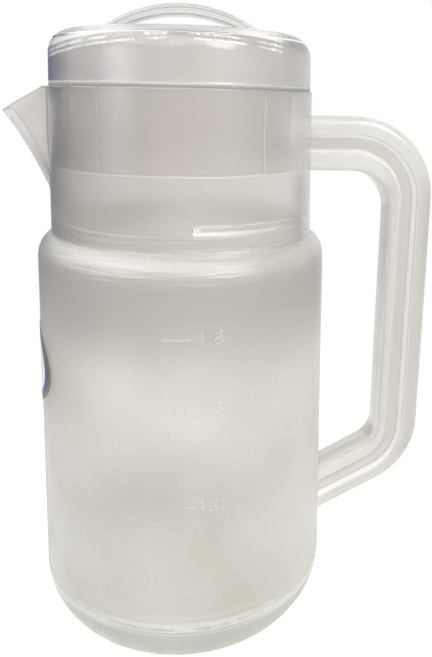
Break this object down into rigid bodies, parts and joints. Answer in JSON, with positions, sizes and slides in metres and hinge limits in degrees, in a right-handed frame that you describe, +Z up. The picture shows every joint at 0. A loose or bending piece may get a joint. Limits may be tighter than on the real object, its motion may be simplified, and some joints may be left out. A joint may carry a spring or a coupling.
{
  "type": "cold water pitcher",
  "caption": "Clear plastic jug with a frosted barrel, beak spout, side handle and a lid that turns to pour, strain or close, and lifts off.",
  "frame": {"origin": "centre of the flat foot, on the surface that the jug stands on", "axes": "+Z up along the jug's axis, +X towards the side handle, -X towards the spout"},
  "size_m": [0.19, 0.1336, 0.2829],
  "materials": {
    "frosted_barrel": "clear plastic with a fine frost all over",
    "clear_base": "clear moulded plastic",
    "clear_neck": "clear moulded plastic with a light frost",
    "clear_handle": "clear moulded plastic",
    "label_film": "printed film, blank",
    "gasket_silicone": "translucent silicone",
    "clear_lid": "clear moulded plastic"
  },
  "bodies": {
    "jug": {"barrel": "frosted_barrel", "base_cup": "clear_base", "neck_collar": "clear_neck", "side_handle": "clear_handle", "front_label": "label_film"},
    "gasket": {"rim_gasket": "gasket_silicone"},
    "lid": {"lid_cap": "clear_lid", "lid_skirt": "clear_lid", "lid_arch": "clear_lid"}
  },
  "joints": [
    {"name": "lid_lift", "type": "slide", "parent": "jug", "child": "gasket", "axis": [0, 0, 1], "range_m": [0, 0.06]},
    {"name": "lid_turn", "type": "hinge", "parent": "gasket", "child": "lid", "pos_m": [0, 0, 0.25], "axis": [0, 0, 1], "continuous": true}
  ]
}
